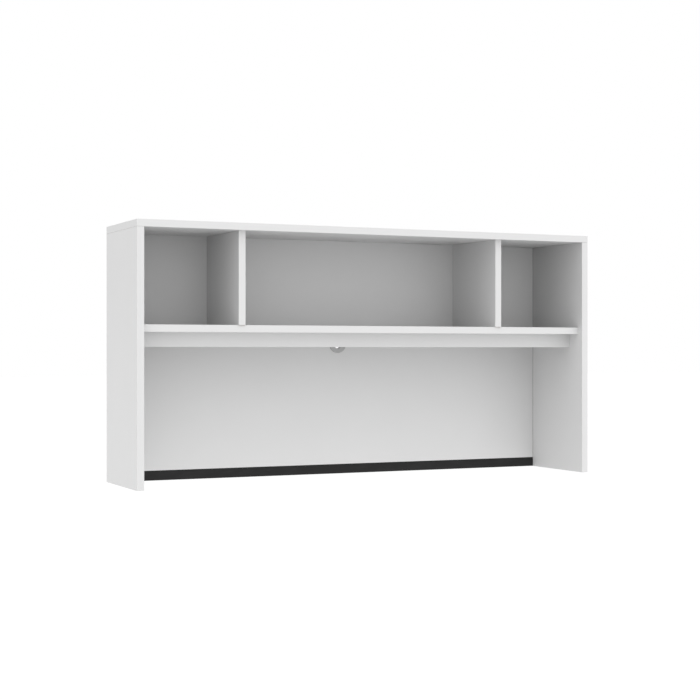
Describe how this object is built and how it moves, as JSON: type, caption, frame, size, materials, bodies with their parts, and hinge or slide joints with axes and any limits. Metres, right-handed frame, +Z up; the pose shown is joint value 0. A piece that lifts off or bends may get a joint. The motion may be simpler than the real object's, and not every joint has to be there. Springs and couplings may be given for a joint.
{
  "type": "desk hutch",
  "caption": "Open white desk hutch: top, sides and shelf with dividers forming cubbies, inset back panel with a turning cable grommet, rail under the shelf, black cable flap along the desk.",
  "frame": {"origin": "centre of the footprint, on the desk top that the sides stand on", "axes": "+X to the viewer's right along the length, +Y towards the back panel, +Z up"},
  "size_m": [1.8034, 0.3746, 0.9144],
  "materials": {
    "white_laminate": "satin",
    "edge_banding": "satin",
    "white_plastic": "satin",
    "beech": "matte",
    "zinc_casting": "satin",
    "zinc_plated_steel": "satin",
    "black_plastic": "matte",
    "black_rubber": "matte",
    "grey_plastic": "satin"
  },
  "bodies": {
    "hutch": {"back_panel": "white_laminate", "left_divider_panel": "white_laminate", "left_side_panel": "white_laminate", "rail_panel": "white_laminate", "right_divider_panel": "white_laminate", "right_side_panel": "white_laminate", "shelf_panel": "white_laminate", "top_panel": "white_laminate", "back_cam_bolts": "zinc_plated_steel", "back_cams": "zinc_casting", "back_screws": "zinc_plated_steel", "cable_strip_base": "black_plastic", "divider_dowels": "beech", "divider_joint_screws": "zinc_plated_steel", "divider_screw_caps": "white_plastic", "grommet_liner": "grey_plastic", "left_divider_front_band": "edge_banding", "left_side_front_band": "edge_banding", "left_side_rear_band": "edge_banding", "rail_bracket_screws": "zinc_plated_steel", "rail_brackets": "zinc_plated_steel", "rail_dowels": "beech", "rail_lower_band": "edge_banding", "right_divider_front_band": "edge_banding", "right_side_front_band": "edge_banding", "right_side_rear_band": "edge_banding", "shelf_cam_bolts": "zinc_plated_steel", "shelf_cams": "zinc_casting", "shelf_dowels": "beech", "shelf_front_band": "edge_banding", "top_dowels": "beech", "top_front_band": "edge_banding", "top_joint_screws": "zinc_plated_steel", "top_left_band": "edge_banding", "top_rear_band": "edge_banding", "top_right_band": "edge_banding", "top_screw_caps": "white_plastic"},
    "flap": {"cable_flap": "black_rubber"},
    "grommet_cap": {"grommet_cap": "grey_plastic"}
  },
  "joints": [
    {"name": "cable_flap_bend", "type": "hinge", "parent": "hutch", "child": "flap", "pos_m": [0, 0.16978, 0.0285], "axis": [1, 0, 0], "range_deg": [-45, 45], "stiffness_Nm_per_rad": 0.6},
    {"name": "grommet_cap_turn", "type": "hinge", "parent": "hutch", "child": "grommet_cap", "pos_m": [0, 0.16828, 0.497], "axis": [0, 1, 0], "continuous": true}
  ]
}
